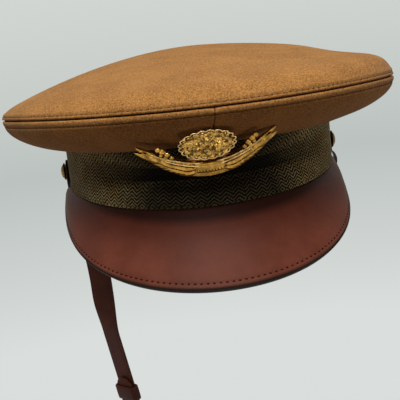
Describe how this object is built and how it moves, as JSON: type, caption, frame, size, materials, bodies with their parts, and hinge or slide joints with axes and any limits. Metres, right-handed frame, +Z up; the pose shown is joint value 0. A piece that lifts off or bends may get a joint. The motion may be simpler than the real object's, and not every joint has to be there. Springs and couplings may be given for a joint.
{
  "type": "military peaked cap",
  "caption": "Peaked service cap with a raised padded-edge crown, braided band, sloping leather visor, gilt badge, side buttons and a hanging chin strap.",
  "frame": {"origin": "centre of the head opening in the plane of the band's bottom edge", "axes": "+Z up through the crown, -Y to the front, +X to the wearer's left"},
  "size_m": [0.251, 0.287, 0.36],
  "materials": {
    "crown_cloth": "napped wool, matt",
    "braid": "woven mohair braid, dull sheen",
    "visor_leather": "polished russet leather, satin",
    "visor_under": "dull lining leather",
    "board": "stiffened board, matt",
    "strap_leather": "dark russet leather, satin",
    "sweat_leather": "thin smooth leather, satin",
    "lining_cloth": "cotton satin lining",
    "gilt": "gilt, polished",
    "steel": "plain spring steel",
    "celluloid": "clear yellowed sheet, gloss"
  },
  "bodies": {
    "cap": {"crown_top": "crown_cloth", "side_panel_front_left": "crown_cloth", "side_panel_front_right": "crown_cloth", "side_panel_rear_left": "crown_cloth", "side_panel_rear_right": "crown_cloth", "crown_seam_welt": "crown_cloth", "grommet_hoop": "steel", "grommet_ferrule": "gilt", "crown_lining_side": "lining_cloth", "crown_lining_tip": "lining_cloth", "sweat_shield": "celluloid", "front_stay": "steel", "braid_band": "braid", "band_frame": "board", "sweatband": "sweat_leather", "visor_top_leather": "visor_leather", "visor_core_board": "board", "visor_lining": "visor_under", "left_button_clip": "steel", "right_button_clip": "steel", "badge_wreath": "gilt", "badge_rosette": "gilt", "badge_bar": "gilt", "badge_post": "gilt", "badge_washer": "steel", "badge_thumb_nut": "gilt"},
    "left_button": {"left_button": "gilt"},
    "right_button": {"right_button": "gilt"},
    "strap_top_half": {"strap_upper": "strap_leather", "strap_keeper_lower": "strap_leather"},
    "strap_bottom_half": {"strap_lower": "strap_leather", "strap_keeper_upper": "strap_leather"},
    "strap_tab": {"left_strap_tab": "strap_leather"}
  },
  "joints": [
    {"name": "strap_swing", "type": "hinge", "parent": "cap", "child": "strap_top_half", "pos_m": [-0.0888, 0.002, 0.0085], "axis": [1, 0, 0], "range_deg": [0, 60]},
    {"name": "strap_length", "type": "slide", "parent": "strap_top_half", "child": "strap_bottom_half", "axis": [0.1409, 0, -0.99], "range_m": [-0.012, 0.024]},
    {"name": "right_button_turn", "type": "hinge", "parent": "cap", "child": "right_button", "pos_m": [-0.0875, 0.002, 0.0085], "axis": [1, 0, 0], "continuous": true},
    {"name": "left_button_turn", "type": "hinge", "parent": "cap", "child": "left_button", "pos_m": [0.0875, 0.002, 0.0085], "axis": [1, 0, 0], "continuous": true},
    {"name": "tab_swing", "type": "hinge", "parent": "cap", "child": "strap_tab", "pos_m": [0.0892, 0.002, 0.0085], "axis": [1, 0, 0], "range_deg": [0, 70]}
  ]
}
